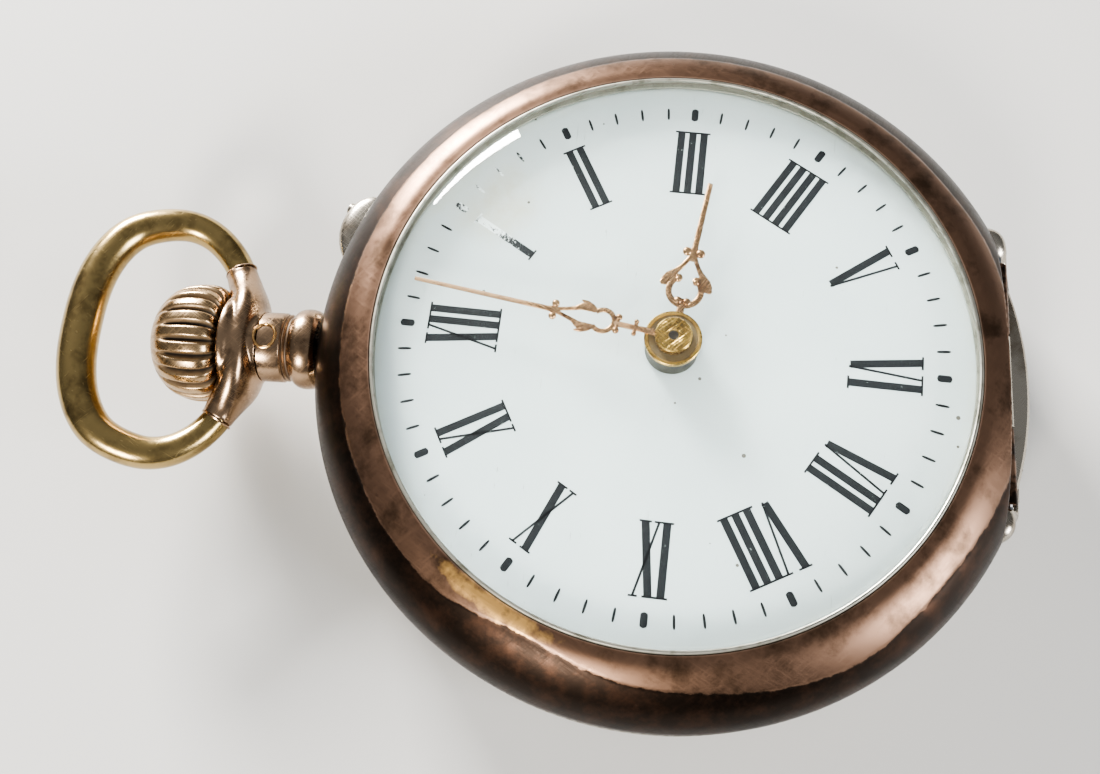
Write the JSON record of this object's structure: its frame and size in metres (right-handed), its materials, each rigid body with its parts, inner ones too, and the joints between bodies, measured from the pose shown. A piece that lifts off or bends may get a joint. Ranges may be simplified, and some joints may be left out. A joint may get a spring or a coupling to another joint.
{
  "type": "open face pocket watch",
  "caption": "Open face pocket watch with a ribbed winding crown, swinging bow, hinged bezel and back, enamel dial with Roman numerals and a complete pin-set movement.",
  "frame": {"origin": "centre of the flat pad on the back cover, on the axis of the hands", "axes": "+Z out of the dial, +Y towards the pendant at twelve o'clock, +X towards three o'clock"},
  "size_m": [0.046, 0.063, 0.0131],
  "materials": {
    "silver": "worn silver, lightly toned",
    "rose_gilt": "rose gilt with brown patina",
    "bow_brass": "yellow brass worn through its gilding",
    "hand_gold": "polished rose gold",
    "enamel": "white vitreous enamel with black numerals",
    "glass": "clear domed mineral glass",
    "gilt_brass": "frosted gilt brass",
    "steel": "ground steel",
    "blued_steel": "heat blued steel",
    "ruby": "polished ruby"
  },
  "bodies": {
    "case": {"case_band": "silver", "bezel_hinge_pin": "steel", "back_hinge_pin": "steel", "cuvette_hinge_pin": "steel", "pendant_neck": "rose_gilt", "pendant_head": "rose_gilt", "guard_lug": "silver", "setting_lever_post": "steel", "main_plate": "gilt_brass", "barrel_bridge": "gilt_brass", "train_bridge": "gilt_brass", "escape_cock": "gilt_brass", "balance_cock": "gilt_brass", "cock_screw": "blued_steel", "bridge_screw_a": "blued_steel", "bridge_screw_b": "blued_steel", "bridge_screw_c": "blued_steel", "bridge_screw_d": "blued_steel", "crown_wheel_screw": "blued_steel", "click_screw": "blued_steel", "click_spring": "blued_steel", "third_jewel": "ruby", "fourth_jewel": "ruby", "balance_cap": "ruby", "hairspring": "blued_steel", "minute_wheel_post": "steel", "dial": "enamel"},
    "bezel": {"bezel": "rose_gilt", "crystal": "glass"},
    "back_cover": {"back_cover": "silver"},
    "cuvette": {"cuvette": "gilt_brass"},
    "bow": {"bow": "bow_brass"},
    "crown": {"crown": "rose_gilt", "winding_stem": "steel", "winding_pinion": "steel"},
    "crown_wheel": {"crown_wheel": "steel"},
    "ratchet": {"ratchet_wheel": "steel", "barrel_arbor": "steel"},
    "barrel": {"barrel": "gilt_brass", "barrel_lid": "gilt_brass", "mainspring": "blued_steel"},
    "centre_wheel": {"centre_wheel": "gilt_brass"},
    "third_wheel": {"third_wheel": "gilt_brass"},
    "fourth_wheel": {"fourth_wheel": "gilt_brass"},
    "escape_wheel": {"escape_wheel": "steel"},
    "balance": {"balance_wheel": "gilt_brass"},
    "regulator": {"regulator": "steel"},
    "click": {"click": "steel"},
    "minute_hand": {"cannon_pinion": "steel", "minute_hand": "hand_gold"},
    "minute_wheel": {"minute_wheel": "gilt_brass"},
    "hour_hand": {"hour_wheel": "gilt_brass", "hour_hand": "hand_gold"},
    "setting_pin": {"setting_pin": "silver"},
    "setting_lever": {"setting_lever": "steel"}
  },
  "joints": [
    {"name": "bezel_hinge", "type": "hinge", "parent": "case", "child": "bezel", "pos_m": [0, -0.02105, 0.00735], "axis": [1, 0, 0], "range_deg": [0, 95]},
    {"name": "back_cover_hinge", "type": "hinge", "parent": "case", "child": "back_cover", "pos_m": [0, -0.0223, 0.00405], "axis": [-1, 0, 0], "range_deg": [0, 90]},
    {"name": "cuvette_hinge", "type": "hinge", "parent": "case", "child": "cuvette", "pos_m": [0, -0.02035, 0.00235], "axis": [-1, 0, 0], "range_deg": [0, 72]},
    {"name": "bow_swing", "type": "hinge", "parent": "case", "child": "bow", "pos_m": [0, 0.0295, 0.0055], "axis": [1, 0, 0], "range_deg": [-115, 85]},
    {"name": "crown_turn", "type": "hinge", "parent": "case", "child": "crown", "pos_m": [0, 0.02955, 0.0055], "axis": [0, 1, 0], "continuous": true},
    {"name": "crown_wheel_turn", "type": "hinge", "parent": "case", "child": "crown_wheel", "pos_m": [0, 0.0126, 0.005], "axis": [0, 0, 1], "continuous": true},
    {"name": "ratchet_turn", "type": "hinge", "parent": "case", "child": "ratchet", "pos_m": [0.0056, 0.0066, 0.005], "axis": [0, 0, 1], "continuous": true},
    {"name": "barrel_turn", "type": "hinge", "parent": "case", "child": "barrel", "pos_m": [0.0056, 0.0066, 0.005], "axis": [0, 0, 1], "continuous": true},
    {"name": "centre_turn", "type": "hinge", "parent": "case", "child": "centre_wheel", "pos_m": [0, 0, 0.005], "axis": [0, 0, 1], "continuous": true},
    {"name": "third_turn", "type": "hinge", "parent": "case", "child": "third_wheel", "pos_m": [0.00246, -0.00677, 0.005], "axis": [0, 0, 1], "continuous": true},
    {"name": "fourth_turn", "type": "hinge", "parent": "case", "child": "fourth_wheel", "pos_m": [-0.00353, -0.00895, 0.005], "axis": [0, 0, 1], "continuous": true},
    {"name": "escape_turn", "type": "hinge", "parent": "case", "child": "escape_wheel", "pos_m": [-0.00863, -0.00758, 0.005], "axis": [0, 0, 1], "continuous": true},
    {"name": "balance_swing", "type": "hinge", "parent": "case", "child": "balance", "pos_m": [-0.00964, -0.00481, 0.005], "axis": [0, 0, 1], "range_deg": [-135, 135], "stiffness_Nm_per_rad": 0.0000008},
    {"name": "regulator_turn", "type": "hinge", "parent": "case", "child": "regulator", "pos_m": [-0.00964, -0.00481, 0.005], "axis": [0, 0, 1], "range_deg": [-18, 18]},
    {"name": "click_lift", "type": "hinge", "parent": "case", "child": "click", "pos_m": [0.0122, 0.0076, 0.0028], "axis": [0, 0, 1], "range_deg": [-10, 0]},
    {"name": "minute_hand_turn", "type": "hinge", "parent": "case", "child": "minute_hand", "pos_m": [0, 0, 0.005], "axis": [0, 0, -1], "continuous": true},
    {"name": "minute_wheel_turn", "type": "hinge", "parent": "case", "child": "minute_wheel", "pos_m": [0.0026, 0.00304, 0.005], "axis": [0, 0, -1], "continuous": true},
    {"name": "hour_hand_turn", "type": "hinge", "parent": "case", "child": "hour_hand", "pos_m": [0, 0, 0.005], "axis": [0, 0, -1], "continuous": true},
    {"name": "setting_pin_push", "type": "slide", "parent": "case", "child": "setting_pin", "axis": [-0.4226, -0.9063, 0], "range_m": [0, 0.0008], "stiffness_N_per_m": 1500},
    {"name": "setting_lever_turn", "type": "hinge", "parent": "case", "child": "setting_lever", "pos_m": [0.0107, 0.0137, 0.0055], "axis": [0, 0, 1], "range_deg": [0, 13]}
  ],
  "couplings": [
    {"joint": "cuvette_hinge", "follows": "back_cover_hinge", "ratio": 0.8},
    {"joint": "crown_wheel_turn", "follows": "crown_turn", "ratio": 0.5625},
    {"joint": "ratchet_turn", "follows": "crown_turn", "ratio": -0.375},
    {"joint": "fourth_turn", "follows": "escape_turn", "ratio": -0.1},
    {"joint": "third_turn", "follows": "escape_turn", "ratio": 0.013333},
    {"joint": "centre_turn", "follows": "escape_turn", "ratio": -0.0016667},
    {"joint": "barrel_turn", "follows": "escape_turn", "ratio": 0.00027778},
    {"joint": "minute_wheel_turn", "follows": "minute_hand_turn", "ratio": -0.33333},
    {"joint": "hour_hand_turn", "follows": "minute_hand_turn", "ratio": 0.083333},
    {"joint": "setting_lever_turn", "follows": "setting_pin_push", "rad_per_m": 273}
  ]
}
